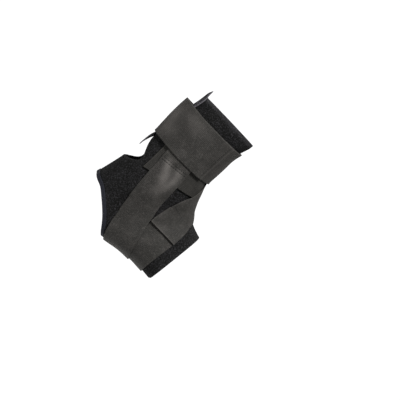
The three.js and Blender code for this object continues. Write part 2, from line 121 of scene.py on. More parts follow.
@dataclass
class FootForm:
    """The leg and foot inside the sleeve, with its sizes in millimetres."""

    cuff_height: float = 129.5
    instep_height: float = 44.0
    sole_drop: float = 75.0
    shin_reach: float = 40.0
    toe_reach: float = 86.0
    heel_reach: float = 58.0
    leg_width: float = 68.0
    foot_width: float = 82.0
    instep_swing: float = 7.0
    bone_height: float = 3.5
    bone_radius: float = 14.0
    walk_step: float = 4.0
    curves: dict[str, Spline] = field(init=False, repr=False)

    def __post_init__(self) -> None:
        """Turns the table's shares of the sizes into one spline for each measure."""
        shin, toe, rise, up, heel, sole, drop, lift, leg, foot, square, lean, swing, slant = STATIONS.T
        toes, shaft = self.toe_reach - self.shin_reach, self.cuff_height - self.instep_height
        self.curves = {
            "front_x": Spline(shin * self.shin_reach + toe * toes),
            "front_z": Spline(rise * self.instep_height + up * shaft),
            "back_x": Spline(sole * self.toe_reach - heel * self.heel_reach),
            "back_z": Spline(lift * self.cuff_height - drop * self.sole_drop),
            "half": Spline((leg * self.leg_width + foot * self.foot_width) / 2),
            "square": Spline(square),
            "lean": Spline(lean),
            "swing": Spline(swing * self.instep_swing),
            "slant": Spline(slant),
        }

    def point(self, station: np.ndarray, around: np.ndarray) -> np.ndarray:
        """Points of the form.

        A rounded ellipse between the station's front and back points: along goes as
        cos a - q cos 3a and across as sin a + q sin 3a, both over 1 - q. The ankle bones are two
        bell curves added sideways.

        Args:
            station: stations, any shape.
            around: angles in radians, the same shape.

        Returns:
            Points in millimetres, with a last axis of three.
        """
        c = {name: curve(station) for name, curve in self.curves.items()}
        q = c["square"]
        along = (np.cos(around) - q * np.cos(3 * around)) / (1 - q)
        across = (np.sin(around) + q * np.sin(3 * around)) / (1 - q)
        front = (1 + along) / 2
        x = c["front_x"] * front + c["back_x"] * (1 - front)
        z = c["front_z"] * front + c["back_z"] * (1 - front)
        y = c["swing"] * front - c["half"] * (1 + c["lean"] * np.cos(around)) * across
        for side, forward, up in ANKLE_BONES:
            facing = np.maximum(0, across * side) ** 2
            away = np.hypot(x - forward * self.shin_reach, z - up * self.instep_height)
            y = y - side * facing * self.bone_height * np.exp(-((away / self.bone_radius) ** 2) / 2)
        return np.stack([x + c["slant"] * y, y, z], axis=-1)

    def normal(self, station: np.ndarray, around: np.ndarray) -> np.ndarray:
        """Unit normals that point out of the form: the slope around crossed with the slope along."""
        by_station = self.point(station + NUDGE, around) - self.point(station - NUDGE, around)
        by_around = self.point(station, around + NUDGE) - self.point(station, around - NUDGE)
        return unit(np.cross(by_around, by_station))

    def raised(self, station: np.ndarray, around: np.ndarray, lift: np.ndarray) -> np.ndarray:
        """Points a lift out from the form, along its normals."""
        lift = np.asarray(lift, float)[..., None]
        return self.point(station, around) + self.normal(station, around) * lift

    def slopes(
        self, station: np.ndarray, around: np.ndarray, lift: np.ndarray
    ) -> tuple[np.ndarray, np.ndarray]:
        """How a point a lift out moves with its station and with its angle: central differences."""
        by_station = self.raised(station + NUDGE, around, lift) - self.raised(station - NUDGE, around, lift)
        by_around = self.raised(station, around + NUDGE, lift) - self.raised(station, around - NUDGE, lift)
        return by_station / (2 * NUDGE), by_around / (2 * NUDGE)

    def walk(
        self,
        station: np.ndarray,
        around: np.ndarray,
        heading: np.ndarray,
        distance: np.ndarray,
        lift: np.ndarray,
    ) -> tuple[np.ndarray, np.ndarray]:
        """Walks straight ahead over the surface a lift out from the form.

        Each step solves for the change of station and angle whose move is the heading, from the
        surface's two slopes, and lays the heading flat on the surface again.

        Args:
            station: stations to start from.
            around: angles to start from, in radians.
            heading: directions, with a last axis of three.
            distance: millimetres to walk, negative for backwards.
            lift: millimetres out from the form.

        Returns:
            The stations and angles reached.
        """
        station, around = np.array(station, float), np.array(around, float)
        steps = max(1, math.ceil(float(np.abs(distance).max()) / self.walk_step))
        for _ in range(steps):
            by_station, by_around = self.slopes(station, around, lift)
            normal = self.normal(station, around)
            heading = unit(heading - normal * (heading * normal).sum(-1, keepdims=True))
            e = (by_station**2).sum(-1)
            f = (by_station * by_around).sum(-1)
            g = (by_around**2).sum(-1)
            a = (heading * by_station).sum(-1)
            b = (heading * by_around).sum(-1)
            scale = distance / steps / (e * g - f * f)
            station = station + (g * a - f * b) * scale
            around = around + (e * b - f * a) * scale
        return station, around


def unit(vectors: np.ndarray) -> np.ndarray:
    """Vectors made one long."""
    return vectors / np.maximum(np.linalg.norm(vectors, axis=-1, keepdims=True), 1e-12)


def smooth_step(x: np.ndarray, low: float, high: float) -> np.ndarray:
    """0 below low, 1 above high, and an S curve between them."""
    t = np.clip((x - low) / (high - low), 0, 1)
    return t * t * (3 - 2 * t)


def bell(x: np.ndarray, middle: float, width: float) -> np.ndarray:
    """A bell curve one high."""
    return np.exp(-(((x - middle) / width) ** 2))


def distances(line: np.ndarray) -> np.ndarray:
    """How far along a line each of its points is: the running sum of its steps."""
    return np.concatenate([[0], np.cumsum(np.linalg.norm(np.diff(line, axis=0), axis=1))])


def read_rows(at: np.ndarray, far: np.ndarray, rows: np.ndarray) -> np.ndarray:
    """Rows of values read at new places along a line, each column on straight pieces.

    Args:
        at: the new places.
        far: the rows' own places, rising.
        rows: one row of values for each place.

    Returns:
        One row for each new place.
    """
    return np.stack([np.interp(at, far, column) for column in rows.T], axis=-1)


def waves(x: np.ndarray, y: np.ndarray, size: float, seed: int) -> np.ndarray:
    """Soft uneven waves between about -1 and 1: the mean of six sine waves in seeded directions.

    Args:
        x: first coordinate in millimetres.
        y: second coordinate in millimetres.
        size: the usual distance from crest to crest, in millimetres.
        seed: picks the directions, lengths and phases.

    Returns:
        The waves' height, the same shape as x.
    """
    rng = np.random.default_rng(seed)
    total = np.zeros(np.shape(x))
    for _ in range(6):
        turn, phase = rng.uniform(0, 2 * math.pi, 2)
        rate = 2 * math.pi / (size * rng.uniform(0.7, 1.6))
        total = total + np.sin((x * math.cos(turn) + y * math.sin(turn)) * rate + phase)
    return total / 3


# ---------------------------------------------------------------- meshes
def grid_quads(rows: np.ndarray) -> np.ndarray:
    """The cells of a grid of point numbers, as quads in the order that turns left to right."""
    return np.stack([rows[:-1, :-1], rows[:-1, 1:], rows[1:, 1:], rows[1:, :-1]], axis=-1).reshape(-1, 4)


def volume_of(points: np.ndarray, quads: np.ndarray) -> float:
    """Signed volume of a closed mesh of quads, from the origin's tetrahedra."""
    a, b, c, d = (points[quads[:, k]] for k in range(4))
    return float(((a * np.cross(b, c)).sum() + (a * np.cross(c, d)).sum()) / 6)


def make_piece(
    name: str,
    points: np.ndarray,
    quads: np.ndarray,
    cloth: np.ndarray,
    polygons: list[list[int]] | None = None,
    lining_from: int | None = None,
) -> bpy.types.Object:
    """A smooth-shaded mesh object at the origin, with its faces turned outward.

    Args:
        name: the piece's name.
        points: vertices in millimetres.
        quads: corner numbers, where a repeated corner makes a triangle.
        cloth: the CLOTH attribute, three numbers for each vertex.
        polygons: more faces, with any number of corners.
        lining_from: the quad from which on the second material is used.

    Returns:
        The object, linked to the scene.
    """
    turn = volume_of(points, quads) < 0
    faces, linings = [], []
    for number, quad in enumerate((quads[:, ::-1] if turn else quads).tolist()):
        corners = [v for i, v in enumerate(quad) if v != quad[i - 1]]
        if len(corners) > 2:
            faces.append(corners)
            linings.append(lining_from is not None and number >= lining_from)
    faces += [face[::-1] if turn else face for face in polygons or []]
    linings += [False] * len(polygons or [])
    mesh = bpy.data.meshes.new(name)
    mesh.from_pydata((points * MM).tolist(), [], faces)
    attribute = mesh.attributes.new(CLOTH, "FLOAT_VECTOR", "POINT")
    attribute.data.foreach_set("vector", np.asarray(cloth, np.float32).ravel())
    mesh.polygons.foreach_set("use_smooth", np.ones(len(mesh.polygons), bool))
    mesh.polygons.foreach_set("material_index", np.array(linings, np.int32))
    mesh.update()
    piece = bpy.data.objects.new(name, mesh)
    bpy.context.scene.collection.objects.link(piece)
    return piece


def edge_distance(points: np.ndarray, edge: np.ndarray, most: float) -> np.ndarray:
    """How far each point is from the nearest of the edge's points, up to a most.

    Args:
        points: points in millimetres.
        edge: points on the edge, closely spaced.
        most: a distance past which nothing changes.

    Returns:
        One distance for each point.
    """
    near = np.full(len(points), float(most))
    for part in np.array_split(np.arange(len(points)), max(1, len(points) // 4000)):
        gaps = np.linalg.norm(points[part, None] - edge[None], axis=-1).min(axis=1)
        near[part] = np.minimum(gaps, most)
    return near


def rounded_share(distance: np.ndarray, radius: float) -> np.ndarray:
    """Share of the full thickness at a distance in from a rounded rim: a quarter circle."""
    return np.sqrt(1 - (1 - np.clip(distance / radius, 0, 1)) ** 2)


@dataclass(frozen=True)
class Thread:
    """A sewing thread's stitches: short rounded rods, each laid along a line and half sunk in."""

    RINGS = 5
    SIDES = 6
    TIP = 0.35  # a tip's share of the radius

    radius: float
    length: float
    gap: float

    def stitches(
        self, name: str, path: np.ndarray, normals: np.ndarray, cross: np.ndarray | None = None
    ) -> bpy.types.Object:
        """Rods along a path, or across it where cross is given.

        Each rod is six-sided, and the radius of its rings follows a half sine from end to end.

        Args:
            name: the piece's name.
            path: points along the seam in millimetres.
            normals: the cloth's normals there.
            cross: directions of the rods, or none for along the path.

        Returns:
            One object with all the rods.
        """
        far = distances(path)
        pitch = self.length + self.gap if cross is None else 2 * self.radius + self.gap
        middles = np.arange(pitch / 2, far[-1], pitch)
        at = read_rows(middles, far, path)
        out = unit(read_rows(middles, far, normals))
        if cross is None:
            along = unit(read_rows(middles + 0.5, far, path) - read_rows(middles - 0.5, far, path))
        else:
            along = unit(read_rows(middles, far, cross))
        side = unit(np.cross(along, out))
        rings = np.linspace(0, 1, self.RINGS)
        sides = np.arange(self.SIDES) * 2 * math.pi / self.SIDES
        size = self.radius * (self.TIP + (1 - self.TIP) * np.sin(math.pi * rings))
        shape = (
            along[:, None, None] * ((rings - 0.5) * self.length)[None, :, None, None]
            + side[:, None, None] * (size[:, None] * np.cos(sides))[None, :, :, None]
            + out[:, None, None] * (size[:, None] * np.sin(sides))[None, :, :, None]
        )
        points = (at[:, None, None] + shape).reshape(-1, 3)
        numbers = np.arange(len(points)).reshape(-1, self.RINGS, self.SIDES)
        turned = np.roll(numbers, -1, axis=2)
        quads, caps = [], []
        for k in range(self.RINGS - 1):
            corners = [numbers[:, k], turned[:, k], turned[:, k + 1], numbers[:, k + 1]]
            quads.append(np.stack(corners, axis=-1).reshape(-1, 4))
        for rod in numbers.tolist():
            caps += [rod[0][::-1], rod[-1]]
        return make_piece(name, points, np.concatenate(quads), np.zeros((len(points), 3)), caps)


# ---------------------------------------------------------------- finishes
def linear(code: str) -> tuple[float, float, float, float]:
    """A hex sRGB colour as linear red, green, blue and an alpha of one."""
    shares = [int(code[i : i + 2], 16) / 255 for i in (1, 3, 5)]
    r, g, b = (s / 12.92 if s <= 0.04045 else ((s + 0.055) / 1.055) ** 2.4 for s in shares)
    return r, g, b, 1.0


def add(
    tree: bpy.types.NodeTree, kind: str, settings: dict | None = None, **inputs: object
) -> bpy.types.Node:
    """Adds a node, with its settings, and links or sets its inputs.

    Args:
        tree: the node tree.
        kind: the node's type.
        settings: attributes of the node itself.
        **inputs: for each input, by name with spaces as underscores, or iN for input number N, a
            socket to link from or a value to set.

    Returns:
        The node.
    """
    made = tree.nodes.new(kind)
    for name, value in (settings or {}).items():
        setattr(made, name, value)
    for name, value in inputs.items():
        numbered = name[0] == "i" and name[1:].isdigit()
        socket = made.inputs[int(name[1:]) if numbered else name.replace("_", " ")]
        if isinstance(value, bpy.types.NodeSocket):
            tree.links.new(value, socket)
        else:
            socket.default_value = value
    return made


class Surface(Enum):
    """How a fabric's face is made, which picks its pattern."""

    WEBBING = "elastic webbing, woven in lengthwise ribs with a brushed face"
    LOOP = "loop pile, a mat of tiny curled filaments"
    TAPE = "folded knitted binding with fine cross ribs"
    THREAD = "twisted polyester sewing thread"


@dataclass(frozen=True)
class Fabric:
    """A fabric finish. Lengths are in millimetres.

    base is the colour of the ground, light that of the raised fibres, and worn that of cloth paled by
    wear and of painted highlights. pitch is the distance between ribs, or between the loops of a pile, and
    relief is how deep the pattern is. sheen and gloss are the weights of the fuzz's and the fibres' shine.
    speck and mottle are the shares of bright filaments and of uneven dye.
    """

    name: str
    surface: Surface
    base: str
    light: str
    wear_and_highlight: str
    pitch: float
    relief: float
    roughness: float
    sheen: float
    gloss: float
    speck: float = 0.0
    mottle: float = 0.45

    def material(self) -> bpy.types.Material:
        """Builds the node material."""
        made = bpy.data.materials.new(self.name)
        made.use_nodes = True
        tree = made.node_tree
        tree.nodes.clear()
        cloth = add(tree, "ShaderNodeAttribute", {"attribute_name": CLOTH}).outputs["Vector"]
        place = add(tree, "ShaderNodeTexCoord").outputs["Object"]
        height = self._height(tree, cloth, place)
        # Uneven dye and lint: soft patches about 14 mm across, and a finer mottle of 3 mm
        noise = "ShaderNodeTexNoise"
        patches = add(tree, noise, Vector=place, Scale=1 / (14 * MM), Detail=3.0, Roughness=0.6)
        mottle = add(tree, noise, Vector=place, Scale=1 / (3 * MM), Detail=4.0, Roughness=0.65)
        ground = self._mix(tree, height, linear(self.base), linear(self.light), 0.0, 0.9)
        ground = self._mix(tree, patches.outputs["Fac"], ground, linear(self.wear_and_highlight), 0.45, 0.9, 0.1)
        ground = self._mix(tree, mottle.outputs["Fac"], ground, linear(self.light), 0.45, 0.75, self.mottle)
        if self.speck:
            # Bright filaments, drawn about a millimetre across so that they show
            dots = add(tree, noise, Vector=place, Scale=1 / (1.5 * MM), Detail=2.0, Roughness=0.8)
            ground = self._mix(tree, dots.outputs["Fac"], ground, linear(self.wear_and_highlight), 0.5, 0.72, self.speck)
        # Toward the pale colour where wear pales the cloth, and where highlights are painted on the straps
        # and the binding's rim
        rubbing_and_highlight = add(tree, "ShaderNodeSeparateXYZ", Vector=cloth).outputs["Z"]
        ground = self._mix(tree, rubbing_and_highlight, ground, linear(self.wear_and_highlight), 0.0, 1.0, 0.55)
        bump = add(tree, "ShaderNodeBump", Height=height, Distance=self.relief * MM, Strength=0.9)
        lumps = add(tree, "ShaderNodeBump", Height=mottle.outputs["Fac"], Distance=0.25 * MM, Strength=0.5)
        tree.links.new(bump.outputs["Normal"], lumps.inputs["Normal"])
        shader = add(
            tree,
            "ShaderNodeBsdfPrincipled",
            Base_Color=ground,
            Roughness=self.roughness,
            IOR=1.5,
            Specular_IOR_Level=self.gloss,
            Sheen_Weight=self.sheen,
            Sheen_Roughness=0.5,
            Sheen_Tint=linear(self.wear_and_highlight),
            Normal=lumps.outputs["Normal"],
        )
        add(tree, "ShaderNodeOutputMaterial", Surface=shader.outputs["BSDF"])
        return made

    def _height(
        self, tree: bpy.types.NodeTree, cloth: bpy.types.NodeSocket, place: bpy.types.NodeSocket
    ) -> bpy.types.NodeSocket:
        """The pattern's height, from 0 to 1.

        Args:
            tree: the material's nodes.
            cloth: millimetres along and across the cloth.
            place: the object's coordinates.

        Returns:
            The height's socket.
        """
        noise, mathematics = "ShaderNodeTexNoise", "ShaderNodeMath"
        if self.surface is Surface.LOOP:
            # Curled loops: cells with rounded tops, with a noise that breaks them up
            size = self.pitch * MM
            smooth = {"feature": "SMOOTH_F1"}
            cells = add(tree, "ShaderNodeTexVoronoi", smooth, Vector=place, Scale=1 / size)
            fuzz = add(tree, noise, Vector=place, Scale=1 / (0.6 * size), Detail=3.0, Distortion=1.2)
            tops = add(tree, mathematics, {"operation": "SUBTRACT"}, i0=1.1, i1=cells.outputs["Distance"])
            broken = {"operation": "MULTIPLY", "use_clamp": True}
            return add(tree, mathematics, broken, i0=tops.outputs[0], i1=fuzz.outputs["Fac"]).outputs[0]
        # Ribs run along the strap and across the binding, and picks a little closer together cross
        # them. A wave texture has a band every pi / (10 scale), so its scale is pi / (10 pitch).
        rib_axis, pick_axis = ("X", "Y") if self.surface is Surface.TAPE else ("Y", "X")
        ribs, picks = (
            add(
                tree,
                "ShaderNodeTexWave",
                {"wave_type": "BANDS", "bands_direction": axis, "wave_profile": "SIN"},
                Vector=cloth,
                Scale=math.pi / (10 * pitch),
                Distortion=distortion,
                Detail=1.0,
            ).outputs["Fac"]
            for axis, pitch, distortion in ((rib_axis, self.pitch, 0.6), (pick_axis, self.pitch * 0.8, 0.8))
        )
        brushed = add(tree, noise, Vector=place, Scale=1 / (0.8 * MM), Detail=3.0, Roughness=0.7)
        raised = add(tree, mathematics, {"operation": "MULTIPLY"}, i0=ribs, i1=0.45).outputs[0]
        weave = add(tree, mathematics, {"operation": "MULTIPLY_ADD"}, i0=picks, i1=0.25, i2=raised).outputs[0]
        summed = {"operation": "MULTIPLY_ADD", "use_clamp": True}
        return add(tree, mathematics, summed, i0=brushed.outputs["Fac"], i1=0.6, i2=weave).outputs[0]

    def _mix(
        self,
        tree: bpy.types.NodeTree,
        factor: bpy.types.NodeSocket,
        first: object,
        second: object,
        low: float,
        high: float,
        most: float = 1.0,
    ) -> bpy.types.NodeSocket:
        """Mixes two colours where a factor goes from low to high, up to a most.

        Args:
            tree: the material's nodes.
            factor: the socket that decides.
            first: the colour at low.
            second: the colour at high.
            low: where the second colour begins.
            high: where it is full.
            most: its greatest share.

        Returns:
            The mixed colour's socket.
        """
        share = add(
            tree, "ShaderNodeMapRange", Value=factor, From_Min=low, From_Max=high, To_Min=0.0, To_Max=most
        ).outputs["Result"]
        return add(tree, "ShaderNodeMix", {"data_type": "RGBA"}, i0=share, i6=first, i7=second).outputs[2]


# Nylon and elastane webbing: charcoal with a warm cast, paler where rubbing makes fibres stand up, and paler
# again where highlights are painted on. Real ribs are 0.9 mm apart, drawn at 1.8 mm so that they show.
WEBBING = Fabric(
    name="brushed_nylon_webbing", surface=Surface.WEBBING, base="#0e0e0d", light="#201f1d", wear_and_highlight="#6a6663",
    pitch=1.8, relief=0.35, roughness=0.7, sheen=0.16, gloss=0.1, speck=0.14, mottle=0.25,
)
# The same webbing on the wrap's inner turn, darker all over: less wear where it is covered, and painted shade
# for a strap that lies partly in shade
INNER_WEBBING_UNWORN_AND_SHADED = Fabric(
    name="nylon_webbing_inner_turn_shaded", surface=Surface.WEBBING, base="#0c0c0b", light="#1c1b19", wear_and_highlight="#55524e",
    pitch=1.8, relief=0.35, roughness=0.7, sheen=0.1, gloss=0.1, speck=0.1, mottle=0.25,
)
# Loop-faced polyester knit laminated on foam: near black, a mat of loops. Real loops are about
# 0.9 mm across, drawn at 1.3 mm.
LOOP_KNIT = Fabric(
    name="loop_faced_knit", surface=Surface.LOOP, base="#050505", light="#151514", wear_and_highlight="#3e3d40",
    pitch=1.3, relief=0.7, roughness=0.95, sheen=0.04, gloss=0.03, speck=0.42,
)
# The lining that lies on the skin: smooth polyester jersey, black
LINING = Fabric(
    name="polyester_jersey_lining", surface=Surface.TAPE, base="#08080a", light="#151517", wear_and_highlight="#232327",
    pitch=0.9, relief=0.12, roughness=0.9, sheen=0.05, gloss=0.05,
)
# The flap's brushed loop knit, greyer than the sleeve
FLAP_KNIT = Fabric(
    name="brushed_loop_knit", surface=Surface.LOOP, base="#08080a", light="#1c1c1f", wear_and_highlight="#6e6b6f",
    pitch=1.1, relief=0.5, roughness=0.92, sheen=0.06, gloss=0.04, speck=0.6,
)
# Knitted nylon binding, bluish black, with cross ribs 1.2 mm apart
BINDING = Fabric(
    name="knitted_nylon_binding", surface=Surface.TAPE, base="#0a0a0e", light="#18191f", wear_and_highlight="#2b2c36",
    pitch=1.2, relief=0.25, roughness=0.8, sheen=0.1, gloss=0.1,
)
# Polyester sewing thread, black, and the paler one of the flap's edge
THREAD = Fabric(
    name="polyester_thread", surface=Surface.THREAD, base="#0a0a0a", light="#161615", wear_and_highlight="#222220",
    pitch=0.5, relief=0.05, roughness=0.6, sheen=0.05, gloss=0.1,
)
EDGE_THREAD = Fabric(
    name="grey_edge_thread", surface=Surface.THREAD, base="#46444a", light="#716e73", wear_and_highlight="#918d91",
    pitch=0.5, relief=0.05, roughness=0.6, sheen=0.1, gloss=0.1,
)


# ---------------------------------------------------------------- the sleeve and what is sewn to it
# Stations and half angles in degrees along the edges of the slit, which widens to a notch over the
# tendon, and of the heel opening
SLIT = np.array([
    [0, 9], [1.3, 9], [2.6, 9], [3.6, 9.5], [4.3, 16], [4.9, 31],
    [5.4, 43.5], [5.75, 47], [5.95, 42], [6.05, 30], [6.09, 15], [6.1, 0],
])
HEEL_OPENING = np.array([
    [7.38, 0], [7.4, 12], [7.5, 24.5], [7.71, 41], [8.01, 53.5], [8.6, 63.5],
    [9.26, 64], [9.9, 54], [10.44, 38], [10.7, 23], [10.8, 11], [10.82, 0],
])


def opening_line(table: np.ndarray, count: int, slow_end: bool) -> np.ndarray:
    """Stations and half angles along an opening's edge.

    Args:
        table: places on the edge.
        count: how many places to give.
        slow_end: whether to step more finely towards the end.

    Returns:
        Rows of station and half angle in radians.
    """
    share = np.linspace(0, 1, count)
    if slow_end:
        share = 0.35 * share + 0.65 * np.sin(math.pi * share / 2)
    t = share * (len(table) - 1)
    half = np.radians(np.maximum(0, Spline(table[:, 1])(t)))
    return np.stack([Spline(table[:, 0])(t), half], axis=-1)


@dataclass
class Sleeve:
    """The padded knit sleeve, the binding of its heel opening and its closing flap."""

    CUFF_SEAM = 0.32  # stations in from the cuff
    TOE_SEAM = 0.42  # stations in from the toe edge
    FLAP_START = math.radians(206)  # the edge that is sewn to the inner side's panel
    FLAP_TOP_RISE = 0.55  # stations that its free corner stands above the cuff
    FLAP_BOTTOM = 4.0  # station of its sewn edge's lower end
    FLAP_BOTTOM_DROP = 1.2  # stations that its free corner hangs below that
    # Down the flap: its free edge's angle in degrees, and how far that stands off in sleeve walls
    FLAP_END = [164, 158, 157, 160, 164, 169, 174, 176, 177]
    FLAP_OFF = [0.5, 0, 0, 0, 0, 0, 0, 0.2, -0.4]
    FLAP_ROWS, FLAP_COLUMNS = 110, 46
    SLIT_ROWS, HEEL_ROWS = 72, 84
    HEEL_PLACES = 190  # places round the heel opening, trim_step apart
    OVERLOCK_INSET = 2.4  # millimetres in from the slit's edge
    HEM_SINK = 0.2  # how deep the hems' stitches lie
    TRIM_SEAM_INSET = 1.1  # millimetres in from the binding's edge

    form: FootForm
    wall: float = 2.8
    clearance: float = 0.65
    columns: int = 150
    rim: float = 1.3
    steady: float = math.radians(100)
    trim_wall: float = 0.6
    trim_leg: float = 4.2
    trim_tip: float = 0.25
    trim_clearance: float = 0.2
    trim_step: float = 1.15
    flap_wall: float = 1.2
    flap_rim: float = 0.6
    stitch_sink: float = 0.05

    def sleeve(self) -> bpy.types.Object:
        """The sleeve: a sheet with a slit, a notch and a heel opening, thickened and rounded.

        Rows follow the openings' edges. A column's angle stays put on the front half and closes up
        behind, by the missing half angle. Thickness falls to nothing at the rims as a quarter
        circle does.
        """
        slit = opening_line(SLIT, self.SLIT_ROWS, True)
        heel = opening_line(HEEL_OPENING, self.HEEL_ROWS, False)
        between = np.linspace(slit[-1, 0], heel[0, 0], 9)[1:-1]
        toe = np.linspace(heel[-1, 0], LAST_STATION, 26)[1:]
        toe = LAST_STATION - (LAST_STATION - toe) ** 1.25 / (LAST_STATION - toe[0]) ** 0.25
        closed = [np.stack([s, np.zeros(len(s))], axis=-1) for s in (between, toe)]
        rows = np.concatenate([slit, closed[0], heel, closed[1]])
        x = np.linspace(0, 1, self.columns + 1)
        share = x - 0.7 * np.sin(2 * math.pi * x) / (2 * math.pi)
        plain = np.abs(2 * share - 1) * math.pi
        closing = (math.pi - rows[:, 1:2] - self.steady) / (math.pi - self.steady)
        angle = np.where(plain < self.steady, plain, self.steady + (plain - self.steady) * closing)
        around = np.sign(2 * share - 1) * angle
        station = np.repeat(rows[:, :1], self.columns + 1, axis=1)
        numbers = np.arange(station.size).reshape(station.shape)
        shut = rows[:, 1] == 0
        numbers[shut, -1] = numbers[shut, 0]
        base, out = self.form.point(station, around), self.form.normal(station, around)
        middle = base + out * self.wall / 2
        start = len(slit) + len(between)
        heel_rows = slice(start, start + len(heel))
        rims = [middle[0], middle[-1], middle[: len(slit), 0], middle[: len(slit), -1]]
        rims += [middle[heel_rows, 0], middle[heel_rows, -1]]
        dense = np.concatenate([finer(line, 0.4) for line in rims])
        near = edge_distance(middle.reshape(-1, 3), dense, 6.0).reshape(station.shape)
        on_edge = np.zeros(station.shape, bool)
        on_edge[[0, -1]] = True
        on_edge[~shut, 0] = on_edge[~shut, -1] = True
        # The rows where an opening comes to its point are edge at the seam as well
        for row in (len(slit) - 1, start, start + len(heel) - 1):
            on_edge[row, 0] = on_edge[row, -1] = True
        near[on_edge] = 0
        thick = self.wall * rounded_share(near, self.rim)
        relief = self._relief(station, around, middle, near)
        outer = base + out * (self.wall / 2 + thick / 2 + relief)[..., None]
        inner = base + out * (self.wall / 2 - thick / 2 + np.minimum(relief, 0))[..., None]
        inner[on_edge] = outer[on_edge]
        count = station.size
        inside = numbers + count
        inside[on_edge] = numbers[on_edge]
        quads = np.concatenate([grid_quads(numbers), grid_quads(inside)[:, ::-1]])
        points = np.concatenate([outer.reshape(-1, 3), inner.reshape(-1, 3)])
        rub_and_highlight = np.exp(-near / 0.9).ravel() * 0.3
        cloth = np.stack([around.ravel() * AROUND_MM, station.ravel() * ALONG_MM, rub_and_highlight], axis=-1)
        cloth = np.concatenate([cloth, cloth])
        used, renumbered = np.unique(quads, return_inverse=True)
        quads = renumbered.reshape(quads.shape)
        return make_piece("sleeve_knit", points[used], quads, cloth[used], lining_from=len(quads) // 2)

    def _relief(
        self, station: np.ndarray, around: np.ndarray, middle: np.ndarray, near: np.ndarray
    ) -> np.ndarray:
        """Height of the sleeve's small folds.

        Soft waves of padding, creases that fan out below the ankle strap on the outer side, and a
        shallow groove behind the cuff's and the toe end's turned edges.

        Args:
            station: stations of the grid.
            around: its angles in radians.
            middle: its points in millimetres.
            near: distance from the nearest rim.

        Returns:
            Height in millimetres.
        """
        x, z = middle[..., 0], middle[..., 2]
        fade = smooth_step(near, 0.5, 4.0)
        soft = 0.16 * waves(x + middle[..., 1], z, 19, 3) * fade
        outer_side = smooth_step(-middle[..., 1], 10, 22)
        fan = np.sin((z - 24 + 0.35 * (x - 28)) * 2 * math.pi / 4.6) * bell(x, 31, 7) * bell(z, 22, 9)
        groove = bell(station, self.CUFF_SEAM, 0.1) + bell(station, LAST_STATION - self.TOE_SEAM, 0.1)
        return soft + 0.3 * fan * outer_side * fade - 0.22 * groove * fade

    def heel_loop(self) -> tuple[np.ndarray, np.ndarray]:
        """The heel opening's edge as a closed loop.

        Returns:
            Rows of station and angle at even distances, and at each the direction on the surface
            from the cloth into the opening.
        """
        line = opening_line(HEEL_OPENING, 150, False)
        right = np.stack([line[:, 0], math.pi + line[:, 1]], axis=-1)
        left = np.stack([line[:, 0], math.pi - line[:, 1]], axis=-1)[::-1]
        edge = np.concatenate([right[:-1], left[:-1]])
        edge = even_loop(edge, self.form.point(*edge.T), self.HEEL_PLACES)
        base = self.form.point(*edge.T)
        along = unit(np.roll(base, -2, axis=0) - np.roll(base, 2, axis=0))
        return edge, unit(np.cross(self.form.normal(*edge.T), along))

    def binding(self) -> bpy.types.Object:
        """The binding: a channel profile carried round the heel opening's edge.

        The profile is two half ellipses, one inside the other, round the sleeve's rim, with two
        straight legs on the sleeve's faces that end in small rounds.
        """
        edge, inwards = self.heel_loop()
        turn = np.linspace(math.pi / 2, -math.pi / 2, 11)
        middle, gap = self.wall / 2, self.trim_clearance
        near, far = middle + gap, middle + gap + self.trim_wall
        legs = np.linspace(-self.trim_leg, 0, 6)[:-1]
        outer = [(r, middle + far) for r in legs]
        outer += [((gap + self.trim_wall) * math.cos(t), middle + far * math.sin(t)) for t in turn]
        outer += [(r, middle - far) for r in legs[::-1]]
        inner = [(r, middle - near) for r in legs]
        inner += [(gap * math.cos(t), middle + near * math.sin(t)) for t in turn[::-1]]
        inner += [(r, middle + near) for r in legs[::-1]]
        tip, half = -self.trim_leg - self.trim_tip, near + self.trim_wall / 2
        reach, lift = np.array([*outer, (tip, middle - half), *inner, (tip, middle + half)]).T
        shape = (len(edge), len(reach))
        station, around = self.form.walk(
            np.broadcast_to(edge[:, :1], shape),
            np.broadcast_to(edge[:, 1:], shape),
            np.broadcast_to(inwards[:, None], (*shape, 3)),
            np.broadcast_to(reach, shape),
            np.broadcast_to(lift, shape),
        )
        far_along = np.arange(len(edge))[:, None] * self.trim_step
        pucker = 0.1 * np.sin(far_along * 2 * math.pi / 4.4 + 0.7 * waves(far_along, far_along, 17, 5))
        pucker = pucker * (lift > middle + near) * smooth_step(reach, -self.trim_leg, -self.trim_leg + 1.5)
        points = self.form.raised(station, around, lift + pucker)
        numbers = np.arange(points[..., 0].size).reshape(shape)
        numbers = np.concatenate([numbers, numbers[:1]])
        numbers = np.concatenate([numbers, numbers[:, :1]], axis=1)
        # Paler along the binding's folded rim: a painted sheen there, with wear
        rub_and_highlight = np.broadcast_to(bell(reach, 0.8, 0.9) * 0.7, shape)
        cloth = np.stack([np.broadcast_to(far_along, shape), np.broadcast_to(reach, shape), rub_and_highlight], axis=-1)
        quads = grid_quads(numbers)
        return make_piece("heel_binding", points.reshape(-1, 3), quads, cloth.reshape(-1, 3))

